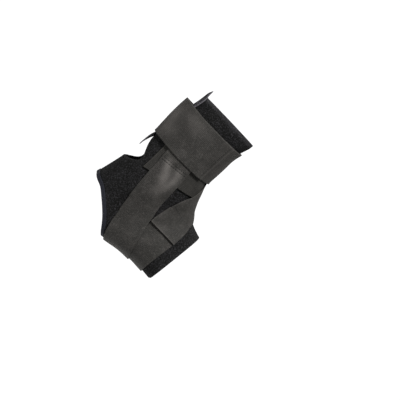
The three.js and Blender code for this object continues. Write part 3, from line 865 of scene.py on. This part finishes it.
    def overlock(self) -> bpy.types.Object:
        """Overlock stitches across the edge of the slit and notch, on both sides of the opening.

        The seam's path lies a little way in from the edge, at right angles to it on the surface.
        """
        line = opening_line(SLIT, 160, True)[:-2]
        paths, outs, rods = [], [], []
        for side in (1, -1):
            station, around = line[:, 0], math.pi + side * line[:, 1]
            lift = np.full(len(line), self.wall)
            edge, out = self.form.raised(station, around, lift), self.form.normal(station, around)
            away = unit(np.cross(out, unit(np.gradient(edge, axis=0)))) * -side
            inset = np.full(len(line), self.OVERLOCK_INSET)
            station, around = self.form.walk(station, around, away, inset, lift)
            order = slice(None, None, -side)
            paths.append(self.form.raised(station, around, lift - self.stitch_sink)[order])
            outs.append(self.form.normal(station, around)[order])
            rods.append(away[order] * side)
        path, out, rod = (np.concatenate(part[::-1]) for part in (paths, outs, rods))
        return Thread(radius=0.26, length=3.2, gap=1.3).stitches("slit_overlock", path, out, rod)

    def hem_seam(self, name: str, station: float) -> bpy.types.Object:
        """A seam round the sleeve at a station, in the groove behind its turned edge.

        Args:
            name: the piece's name.
            station: where it runs.

        Returns:
            The stitches.
        """
        slit = math.radians(12) if station < SLIT[-1, 0] else 0.0
        around = np.linspace(math.pi + slit, 3 * math.pi - slit, 300)
        places = np.full(len(around), station)
        path = self.form.raised(places, around, np.full(len(around), self.wall - self.HEM_SINK))
        thread = Thread(radius=0.26, length=2.2, gap=1.1)
        return thread.stitches(name, path, self.form.normal(places, around))

    def binding_seam(self) -> bpy.types.Object:
        """The stitches that hold the binding, a millimetre in from its edge on the outer face."""
        edge, inwards = self.heel_loop()
        lift = np.full(len(edge), self.wall + self.trim_clearance + self.trim_wall)
        reach = np.full(len(edge), self.TRIM_SEAM_INSET - self.trim_leg)
        station, around = self.form.walk(edge[:, 0], edge[:, 1], inwards, reach, lift)
        path = self.form.raised(station, around, lift - self.stitch_sink)
        thread = Thread(radius=0.24, length=2.0, gap=1.0)
        return thread.stitches("binding_seam", path, self.form.normal(station, around))

    def flap(self) -> tuple[bpy.types.Object, bpy.types.Object]:
        """The closing flap and the overlock stitches along its free edge.

        Rows run down the back. The flap lies on the sleeve, and its free edge bends off it by the
        square of the share across.
        """
        down = np.linspace(0, 1, self.FLAP_ROWS)[:, None]
        across = np.linspace(0, 1, self.FLAP_COLUMNS)[None]
        t = down * (len(self.FLAP_END) - 1)
        top = -self.FLAP_TOP_RISE * across**2
        bottom = self.FLAP_BOTTOM + self.FLAP_BOTTOM_DROP * across
        station = top + (bottom - top) * down
        end = np.radians(Spline(self.FLAP_END)(t))
        around = self.FLAP_START + (end - self.FLAP_START) * across
        base, out = self.form.point(station, around), self.form.normal(station, around)
        plain = self.wall + self.clearance + Spline(self.FLAP_OFF)(t) * self.wall * across**2
        middle = base + out * (plain + self.flap_wall / 2)[..., None]
        numbers = np.arange(station.size).reshape(station.shape)
        on_edge = np.ones(station.shape, bool)
        on_edge[1:-1, 1:-1] = False
        rims = (middle[0], middle[-1], middle[:, 0], middle[:, -1])
        dense = np.concatenate([finer(line, 0.3) for line in rims])
        near = edge_distance(middle.reshape(-1, 3), dense, 4.0).reshape(station.shape)
        near[on_edge] = 0
        thick = self.flap_wall * (0.25 + 0.75 * rounded_share(near, self.flap_rim))
        curl = 0.25 * waves(station * ALONG_MM, around * 30, 15, 8) * across
        outer = middle + out * (thick / 2 + curl)[..., None]
        inner = middle + out * (curl - thick / 2)[..., None]
        sides = (numbers[0], numbers[1:, -1], numbers[-1, -2::-1], numbers[-2:0:-1, 0], numbers[0, :1])
        ring = np.concatenate(sides)
        count = station.size
        wall = np.stack([ring[1:], ring[:-1], ring[:-1] + count, ring[1:] + count], axis=-1)
        quads = np.concatenate([grid_quads(numbers), grid_quads(numbers + count)[:, ::-1], wall])
        rub_and_highlight = np.exp(-near / 0.8) * 0.8
        cloth = np.stack([around * AROUND_MM, station * ALONG_MM, rub_and_highlight], axis=-1).reshape(-1, 3)
        points = np.concatenate([outer.reshape(-1, 3), inner.reshape(-1, 3)])
        piece = make_piece("closing_flap", points, quads, np.concatenate([cloth, cloth]))
        path, normals = outer[:, -3], out[:, -3]
        across_edge = unit(outer[:, -2] - outer[:, -6])
        thread = Thread(radius=0.28, length=2.6, gap=1.0)
        return piece, thread.stitches("flap_overlock", path, normals, across_edge)


def finer(line: np.ndarray, step: float) -> np.ndarray:
    """A line's points again, no further apart than a step in millimetres."""
    far = distances(line)
    return read_rows(np.linspace(0, far[-1], max(2, math.ceil(far[-1] / step))), far, line)


def even_loop(values: np.ndarray, points: np.ndarray, count: int) -> np.ndarray:
    """Values along a closed loop, read again at even distances.

    Args:
        values: one row for each place of the loop.
        points: the loop's points.
        count: how many places to give.

    Returns:
        Rows of values, evenly spaced.
    """
    far = distances(np.concatenate([points, points[:1]]))
    at = np.linspace(0, far[-1], count + 1)[:-1]
    return read_rows(at, far, np.concatenate([values, values[:1]]))


# ---------------------------------------------------------------- straps
Row = tuple[float, ...]


def plain_rows(places: list[tuple[float, float]], layers: float) -> list[Row]:
    """Rows of a strap's table whose layers are the same all along."""
    return [(station, around, layers, layers, 0, 0) for station, around in places]


# Each row of a strap: station, angle in degrees, layers under its left and right edges, share of
# the stand-off, and skew in degrees
TOP_STRAP = [
    (2.55, 63, 0.5, 1.2, 0, 0), (2.55, 42, 0.5, 1.2, 0, 0), (2.53, 20, 0.5, 1.4, 0, 0),
    (2.53, 0, 0.6, 2.2, 0, 0), (2.53, -22, 1.6, 2.7, 0, 0), (2.53, -45, 2.8, 3.1, 0, 0),
    (2.53, -75, 2.8, 3.2, 0, 0), (2.53, -100, 2, 3, 0, 0), (2.53, -125, 1.4, 2.4, 0, 0),
    (2.5, -150, 1.2, 1.3, 0.4, 0), (2.52, -170, 1.1, 1.2, 1, 0),
    (2.52, -190, 1.1, 1.2, 1, 0), (2.53, -208, 0.9, 0.9, 0.6, 0), (2.53, -225, 0.7, 1.2, 0.2, 0),
    (2.55, -242, 0.8, 2.1, 0, 0), (2.56, -262, 0.8, 2.2, 0, 0), (2.56, -280, 0.9, 2.2, 0, 0),
    (2.56, -296, 1.5, 2.3, 0, 0), (2.56, -316, 1.5, 2.3, 0, 0),
]
ANKLE_STRAP = [
    (4.87, 121.3, 0.1, 0.1, 0, -13), (4.72, 105, 0.1, 0.1, 0, -6), (4.6, 90, 0.1, 0.1, 0, 0),
    *plain_rows(
        [(4.45, 66), (4.4, 43), (4.3, 20), (4.2, 0), (4.05, -30), (3.85, -60), (3.65, -90), (3.5, -118)],
        layers=0.1,
    ),
]
STIRRUP_HALF = [
    (3.82, 89, 1, 1, 0, 0), (4.54, 88.4, 1, 1, 0, 0), (5.38, 87.5, 1, 1, 0, 0),
    (6.13, 86.7, 0.9, 1, 0, 0), (6.68, 85.9, 0.3, 0.4, 0, 0), (7.2, 84.8, 0, 0, 0, 0),
    (7.78, 83.6, 0, 0, 0, 0), (8.44, 83.6, 0.2, 0, 0, 0), (9.06, 86.9, 0.7, 0, 0, 0),
    (9.71, 94.3, 1, 0, 0, 0), (10.33, 105.2, 1, 0.1, 0, 0),
    (10.8, 115.5, 1, 0.4, 0, 0), (11.21, 128.6, 1, 0.7, 0, 0), (11.49, 144, 1, 0.8, 0, 0),
    (11.64, 161, 1, 0.8, 0, 0), (11.68, 180, 1, 0.8, 0, 0),
]
STIRRUP = STIRRUP_HALF + [(s, 360 - a, *rest) for s, a, *rest in STIRRUP_HALF[-2::-1]]
INSTEP_STRAP = [
    (11.2, 76, 1.5, 1.3, 0, -10), (10.47, 63.8, 1.2, 1.1, 0, -5), (9.58, 50.2, 1, 1, 0, 0),
    (8.88, 40.5, 1, 1, 0, 0), (8.1, 30, 1, 1, 0, 0), (7.35, 19.5, 1, 1, 0, 0),
    (6.6, 8, 1.1, 1.1, 0, 0), (5.85, -5, 1.1, 1.1, 0, 0), (5.05, -21, 1.2, 1.5, 0, 0),
    (4.3, -42, 1.8, 2.1, 0, 0), (3.7, -63, 2.1, 2.1, 0, 0),
]
ARCH_STRAP = plain_rows(
    [(9.25, 45.6), (10.47, 63.8), (11.2, 76.5), (11.75, 95), (12.08, 120), (12.25, 150),
     (12.3, 180), (12.25, 210), (12.05, 240), (11.7, 265), (11.3, 285)],
    layers=0,
)


@dataclass
class Strap:
    """A strap of constant width, laid over the form along its centre line.

    table has the columns that are listed above TOP_STRAP, with left and right seen along the strap
    from outside. seams holds how far along the strap its seams lie, from its far end where
    negative. worn holds patches of the pale colour, painted highlights with some wear: millimetres along and
    across, length, breadth and strength.
    """

    RIM = 0.6  # millimetres in from an end that are rounded
    END_CUTS = (0.15, 0.35, 0.7)  # millimetres in from an end, to round it by
    RUB_REACH, EDGE_RUB, END_RUB = 0.8, 0.08, 0.4  # how far rubbing goes in, and its strengths
    ROWS_PER_ENTRY = 40  # of the table, to measure the centre line
    SEAM_PLACES = 60  # places across the strap along a seam
    SEAM_INSET, SEAM_SINK = 1.5, 0.05  # millimetres in from the sides, and down into the face

    form: FootForm
    name: str
    node: str
    slot: str
    table: list[Row]
    width: float
    seed: int
    finish: Fabric = WEBBING
    seams: Row = ()
    standoff: float = 0.0
    wall: float = 1.2
    sleeve_wall: float = 2.8
    clearance: float = 0.65
    step: float = 1.4
    columns: int = 26
    end_rise: float = 0.0
    wear_and_highlight: tuple[Row, ...] = ()
    length: float = field(init=False, default=0.0)

    def build(self) -> bpy.types.Object:
        """The strap's mesh: a rounded flat profile carried along the centre line.

        The centre line is a spline through the table, cut at even lengths. At each cut a walk to
        the left and right over the form gives the cross line, and the lift is the sleeve's wall
        plus the layers beneath, mixed from edge to edge.
        """
        table = np.array(self.table, float)
        fine = np.linspace(0, len(table) - 1, len(table) * self.ROWS_PER_ENTRY)
        rows = np.stack([Spline(column)(fine) for column in table.T], axis=-1)
        rows[:, 1] = np.radians(rows[:, 1])
        line = self.form.raised(rows[:, 0], rows[:, 1], np.full(len(rows), self.sleeve_wall))
        far = distances(line)
        self.length = float(far[-1])
        count = math.ceil(self.length / self.step) + 1
        at = self._ends(np.linspace(0, self.length, count))
        station, around, left, right, off, skew = read_rows(at, far, rows).T
        skew = np.radians(skew)
        low = self.form.point(station, around)
        along = unit(np.gradient(low, at, axis=0))
        normal = self.form.normal(station, around)
        sideways = unit(np.cross(along, normal))
        ahead = np.cross(normal, sideways)
        turned = sideways * np.cos(skew)[:, None] + ahead * np.sin(skew)[:, None]
        across, height = self._profile()
        shape = (len(at), len(across))
        share = np.broadcast_to(across / self.width + 0.5, shape)
        layer = self.wall + self.clearance
        middle = self.sleeve_wall + self.clearance + (left + right) / 2 * layer
        spot_s, spot_a = self.form.walk(
            np.broadcast_to(station[:, None], shape),
            np.broadcast_to(around[:, None], shape),
            np.broadcast_to(turned[:, None], (*shape, 3)),
            across / np.cos(skew)[:, None],
            np.broadcast_to(middle[:, None], shape),
        )
        layers = left[:, None] * (1 - share) + right[:, None] * share
        lift = self.sleeve_wall + self.clearance + layers * layer
        lift = lift + self.standoff * off[:, None] * (1 - share)
        u, v = np.broadcast_to(at[:, None], shape), np.broadcast_to(across, shape)
        end = np.minimum(at, self.length - at)[:, None]
        full = rounded_share(end, self.RIM)
        lift = lift + height * (0.3 + 0.7 * full) + self.wall * 0.35 * (1 - full) + self.folds(u, v, end)
        points = self.form.raised(spot_s, spot_a, lift)
        self.top = (at, across, points, self.form.normal(spot_s, spot_a))
        rub_and_highlight = np.exp(-(self.width / 2 - np.abs(v)) / self.RUB_REACH) * self.EDGE_RUB
        rub_and_highlight = rub_and_highlight + np.exp(-end / self.RUB_REACH) * self.END_RUB
        # Patches of the pale colour: painted highlights, with some wear
        for along_it, across_it, long, broad, strength in self.wear_and_highlight:
            rub_and_highlight = rub_and_highlight + strength * bell(u, along_it, long) * bell(v, across_it, broad)
        cloth = np.stack([u, v, np.clip(rub_and_highlight, 0, 1) * (height > self.wall * 0.4)], axis=-1)
        numbers = np.arange(shape[0] * shape[1]).reshape(shape)
        around_it = np.concatenate([numbers, numbers[:, :1]], axis=1)
        quads, caps = grid_quads(around_it)[:, ::-1], self._caps(numbers)
        return make_piece(self.name, points.reshape(-1, 3), quads, cloth.reshape(-1, 3), caps)

    def _caps(self, numbers: np.ndarray) -> list[list[int]]:
        """Closes both ends: quads between the face and the back, and a polygon at each side.

        Args:
            numbers: the grid's point numbers, where a row goes round the profile.

        Returns:
            The faces, with those of the far end turned round.
        """
        top, caps = self.columns + 1, []
        for row, turn in ((numbers[0].tolist(), 1), (numbers[-1].tolist(), -1)):
            upper, lower = row[:top], row[top + 3 : 2 * top + 3][::-1]
            faces = [[upper[j], lower[j], lower[j + 1], upper[j + 1]] for j in range(self.columns)]
            faces.append([upper[-1], lower[-1], *row[top : top + 3][::-1]])
            faces.append([lower[0], upper[0], *row[2 * top + 3 :][::-1]])
            caps += [face[::turn] for face in faces]
        return caps

    def _ends(self, at: np.ndarray) -> np.ndarray:
        """Adds cuts close to both ends, so that they can be rounded."""
        close = np.array(self.END_CUTS)
        return np.unique(np.concatenate([at, close, self.length - close]))

    def _profile(self) -> tuple[np.ndarray, np.ndarray]:
        """The profile's distances across and heights: flat above and below, round at the sides."""
        radius = self.wall / 2
        x = np.linspace(-1, 1, self.columns + 1)
        flat = (1.15 * x - 0.15 * x**3) * (self.width / 2 - radius)
        turn = np.radians([45, 0, -45])
        right_side = (self.width / 2 - radius + radius * np.cos(turn), radius + radius * np.sin(turn))
        left_side = (-right_side[0][::-1], right_side[1][::-1])
        across = np.concatenate([flat, right_side[0], flat[::-1], left_side[0]])
        face, back = np.full(len(flat), self.wall), np.zeros(len(flat))
        return across, np.concatenate([face, right_side[1], back, left_side[1]])

    def folds(self, u: np.ndarray, v: np.ndarray, end: np.ndarray) -> np.ndarray:
        """Height of the strap's own unevenness: soft waves that fade towards its ends."""
        soft = 0.13 * waves(u, v * 1.6, 26, self.seed) * smooth_step(end, 1.0, 12.0)
        return soft + self.end_rise * (1 - smooth_step(u, 0, 7))

    def on_top(self, u: np.ndarray, v: np.ndarray, proud: float) -> tuple[np.ndarray, np.ndarray]:
        """Points and normals on the strap's face.

        Args:
            u: millimetres along the strap.
            v: millimetres across it, from its middle.
            proud: height above the face.

        Returns:
            The points and the normals.
        """
        at, across, points, normals = self.top
        face = slice(0, self.columns + 1)
        columns = np.interp(v, across[face], np.arange(self.columns + 1))
        rows = np.interp(u, at, np.arange(len(at)))
        i = np.clip(rows.astype(int), 0, len(at) - 2)
        j = np.clip(columns.astype(int), 0, self.columns - 1)
        a, b = (rows - i)[:, None], (columns - j)[:, None]

        def read(grid: np.ndarray) -> np.ndarray:
            """Reads a grid between its points."""
            near = grid[i, j] * (1 - b) + grid[i, j + 1] * b
            return near * (1 - a) + grid[i + 1, j] * a * (1 - b) + grid[i + 1, j + 1] * a * b

        out = unit(read(normals))
        return read(points) + out * proud, out

    def stitch(self, thread: Thread) -> list[bpy.types.Object]:
        """The strap's seams, each a row of stitches straight across it, sunk a little in."""
        half = self.width / 2 - self.SEAM_INSET
        across = np.linspace(-half, half, self.SEAM_PLACES)
        made = []
        for number, far in enumerate(self.seams):
            places = np.full(self.SEAM_PLACES, far % self.length)
            path, normals = self.on_top(places, across, -self.SEAM_SINK)
            made.append(thread.stitches(f"{self.node}_seam_{number + 1}", path, normals))
        return made


@dataclass
class Stirrup(Strap):
    """The strap under the foot, whose two upper ends are turned over and stitched down.

    hem is how far the turned cloth reaches, and arm how far the outer side's straight part does.
    """

    hem: float = 13.0
    arm: float = 65.0

    def folds(self, u: np.ndarray, v: np.ndarray, end: np.ndarray) -> np.ndarray:
        """Adds the hems' double thickness, the dents of their seams and two shallow creases.

        On the outer side one crease slants down to the left below the hem, and one runs down the
        right edge.
        """
        hem = 0.55 * (1 - smooth_step(end, self.hem - 0.8, self.hem + 0.8))
        seams = 0.9 * bell(end, self.hem - 1.3, 0.7) + 0.4 * bell(end, self.hem + 1.8, 0.6)
        dent = -seams * (np.abs(v) < self.width / 2 - self.SEAM_INSET)
        outer_arm = 1 - smooth_step(u, self.arm - 5, self.arm + 5)
        left_crease = bell(u - 30 + 1.9 * v, 0, 7) * smooth_step(u, 12, 18) * bell(v, 4, 9)
        right_crease = bell(v + 10.5, 0, 3.2) * bell(u, 31, 13)
        crease = 0.45 * (left_crease + right_crease) * outer_arm
        return Strap.folds(self, u, v, end) + hem + dent + crease


# ---------------------------------------------------------------- the studio
@dataclass
class Studio:
    """A pale floor, soft lamps and the camera at the photograph's angle. Lengths are in metres."""

    LAMPS = (  # name, place, size and watts
        ("key", (0.2, -1.1, 1.5), 0.5, 84),
        ("fill", (-1.4, -0.7, 0.35), 0.8, 6),
        ("back", (-0.5, 1.3, 1.2), 0.8, 30),
    )
    # The surround is seen as bright as paper, and lights the object less than half as much
    SURROUND_LIGHT, SURROUND_SEEN = 0.46, 1.1
    FLOOR_RINGS = (0.0, 0.15, 0.3, 0.45, 0.6, 0.75, 0.9, 0.92)
    FLOOR_SIDES = 64
    FLOOR_RIM = 0.02  # how far the last ring is turned down

    floor_z: float = -0.6
    distance: float = 1.6
    frame_width: float = 0.48
    target: tuple[float, float, float] = (0.0535, 0.0, 0.0383)
    back: tuple[float, float, float] = (-0.0748, -0.9946, 0.0723)
    up: tuple[float, float, float] = (-0.7193, 0.0, 0.6947)

    def camera(self) -> None:
        """Puts the camera back from the target, with the photograph's roll."""
        data = bpy.data.cameras.new("camera")
        data.sensor_width = 36.0
        data.lens = data.sensor_width * self.distance / self.frame_width
        data.clip_end = 50
        camera = bpy.data.objects.new("camera", data)
        bpy.context.scene.collection.objects.link(camera)
        back = Vector(self.back).normalized()
        right = Vector(self.up).cross(back).normalized()
        up = back.cross(right)
        turn = Matrix((right, up, back)).transposed().to_4x4()
        camera.matrix_world = Matrix.Translation(Vector(self.target) + back * self.distance) @ turn
        bpy.context.scene.camera = camera

    def lamp(self, name: str, place: tuple[float, float, float], size: float, watts: float) -> None:
        """A square soft lamp that faces the target."""
        data = bpy.data.lights.new(name, "AREA")
        data.size, data.energy = size, watts
        lamp = bpy.data.objects.new(name, data)
        bpy.context.scene.collection.objects.link(lamp)
        lamp.location = place
        lamp.rotation_euler = (Vector(self.target) - Vector(place)).to_track_quat("-Z", "Y").to_euler()

    def floor(self) -> None:
        """A pale round floor, flat, with its rim turned down."""
        radius = np.array(self.FLOOR_RINGS)[:, None]
        height = np.where(radius > self.FLOOR_RINGS[-2], -self.FLOOR_RIM, 0.0) + self.floor_z
        turn = np.linspace(0, 2 * math.pi, self.FLOOR_SIDES + 1)[None, :-1]
        shape = (radius.size, turn.size)
        flat = (radius * np.cos(turn), radius * np.sin(turn), np.broadcast_to(height, shape))
        points = np.stack(flat, axis=-1)
        numbers = np.arange(radius.size * turn.size).reshape(shape)
        quads = grid_quads(np.concatenate([numbers, numbers[:, :1]], axis=1))
        mesh = bpy.data.meshes.new("floor")
        mesh.from_pydata(points.reshape(-1, 3).tolist(), [], quads.tolist())
        mesh.polygons.foreach_set("use_smooth", np.ones(len(mesh.polygons), bool))
        floor = bpy.data.objects.new("floor", mesh)
        bpy.context.scene.collection.objects.link(floor)
        paint = bpy.data.materials.new("matt_white_paper")
        paint.use_nodes = True
        shader = paint.node_tree.nodes["Principled BSDF"]
        shader.inputs["Base Color"].default_value = linear("#f6f6f5")
        shader.inputs["Roughness"].default_value = 0.9
        mesh.materials.append(paint)

    def build(self) -> None:
        """Camera, lamps, floor and an even pale surround."""
        self.camera()
        self.floor()
        world = bpy.data.worlds.new("surround")
        bpy.context.scene.world = world
        world.use_nodes = True
        ground = world.node_tree.nodes["Background"]
        ground.inputs["Color"].default_value = linear("#ffffff")
        tree = world.node_tree
        seen = add(tree, "ShaderNodeLightPath").outputs["Is Camera Ray"]
        low, high = self.SURROUND_LIGHT, self.SURROUND_SEEN
        bright = add(tree, "ShaderNodeMapRange", Value=seen, To_Min=low, To_Max=high)
        tree.links.new(bright.outputs["Result"], ground.inputs["Strength"])
        for name, place, size, watts in self.LAMPS:
            self.lamp(name, place, size, watts)
        bpy.context.scene.view_settings.view_transform = "Standard"


# ---------------------------------------------------------------- putting it together
def dress(piece: bpy.types.Object, finish: bpy.types.Material, slot: str, *nodes: str) -> bpy.types.Object:
    """Gives a piece its material and body, and hides the CAD nodes that it stands for.

    Args:
        piece: the object.
        finish: its material.
        slot: the name of a material slot; not used.
        *nodes: CAD nodes that it replaces.

    Returns:
        The same object.
    """
    piece.data.materials.clear()
    piece.data.materials.append(finish)
    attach(piece, "root")
    if nodes:
        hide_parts(*nodes)
    LOG.info("%s: %d faces", piece.name, len(piece.data.polygons))
    return piece


def straps_of(form: FootForm) -> list[Strap]:
    """The five straps, from the outermost in."""
    # Patches of the pale colour: painted highlights along the top strap's back edge and along the stirrup's
    # creases, with some wear
    top_wear_and_highlights = ((176, -4, 9, 16, 0.35), (184, 12, 12, 12, 0.25), (205, -16, 16, 9, 0.22))
    stirrup_wear_and_highlights = (
        (13, 9, 4.5, 4.5, 0.45), (20, 6, 7, 4.5, 0.5), (30, 1, 8, 5, 0.48), (43, -3, 9, 6, 0.26),
        (16, -9, 5, 4.5, 0.4), (26, -11, 7, 4.5, 0.4), (37, -9, 7, 4, 0.28),
    )
    return [
        Strap(
            form, "top_strap_webbing", "top_strap", "top_webbing", TOP_STRAP,
            width=55, seed=11, seams=(-4.0,), standoff=8, wear_and_highlight=top_wear_and_highlights,
        ),
        # The ankle strap's webbing is darker: painted shade, with less wear
        Strap(
            form, "ankle_strap_webbing", "ankle_strap", "ankle_webbing", ANKLE_STRAP,
            width=40, seed=12, finish=INNER_WEBBING_UNWORN_AND_SHADED,
        ),
        Stirrup(
            form, "stirrup_webbing_strap", "stirrup_strap", "stirrup_webbing", STIRRUP,
            width=38, seed=13, seams=(11.7, 14.8), wear_and_highlight=stirrup_wear_and_highlights,
        ),
        Strap(
            form, "instep_strap_webbing", "instep_strap", "instep_webbing", INSTEP_STRAP,
            width=37.5, seed=14, seams=(30.0,), end_rise=0.5,
        ),
        Strap(form, "arch_strap_webbing", "arch_strap", "arch_webbing", ARCH_STRAP, width=37, seed=15),
    ]


def main() -> None:
    """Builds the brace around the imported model."""
    logging.basicConfig(level=logging.INFO, format="%(message)s")
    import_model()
    form = FootForm()
    finishes = (WEBBING, INNER_WEBBING_UNWORN_AND_SHADED, LOOP_KNIT, LINING, FLAP_KNIT, BINDING, THREAD, EDGE_THREAD)
    cloths = {finish.name: finish.material() for finish in finishes}
    padding = Sleeve(form)
    knit = dress(padding.sleeve(), cloths[LOOP_KNIT.name], "sleeve_knit", "sleeve")
    knit.data.materials.append(cloths[LINING.name])
    dress(padding.overlock(), cloths[THREAD.name], "sleeve_knit")
    for name, station in (("cuff_seam", padding.CUFF_SEAM), ("toe_seam", LAST_STATION - padding.TOE_SEAM)):
        dress(padding.hem_seam(name, station), cloths[THREAD.name], "sleeve_knit")
    dress(padding.binding_seam(), cloths[THREAD.name], "binding_tape")
    dress(padding.binding(), cloths[BINDING.name], "binding_tape", "heel_trim")
    flap, overlock = padding.flap()
    dress(flap, cloths[FLAP_KNIT.name], "flap_loop_knit", "closure_flap")
    dress(overlock, cloths[EDGE_THREAD.name], "flap_loop_knit")
    thread = Thread(radius=0.38, length=2.6, gap=0.6)
    for strap in straps_of(form):
        piece = dress(strap.build(), cloths[strap.finish.name], strap.slot, strap.node)
        for seam in strap.stitch(thread):
            dress(seam, cloths[THREAD.name], strap.slot)
    Studio().build()


if __name__ == "__main__":
    main()
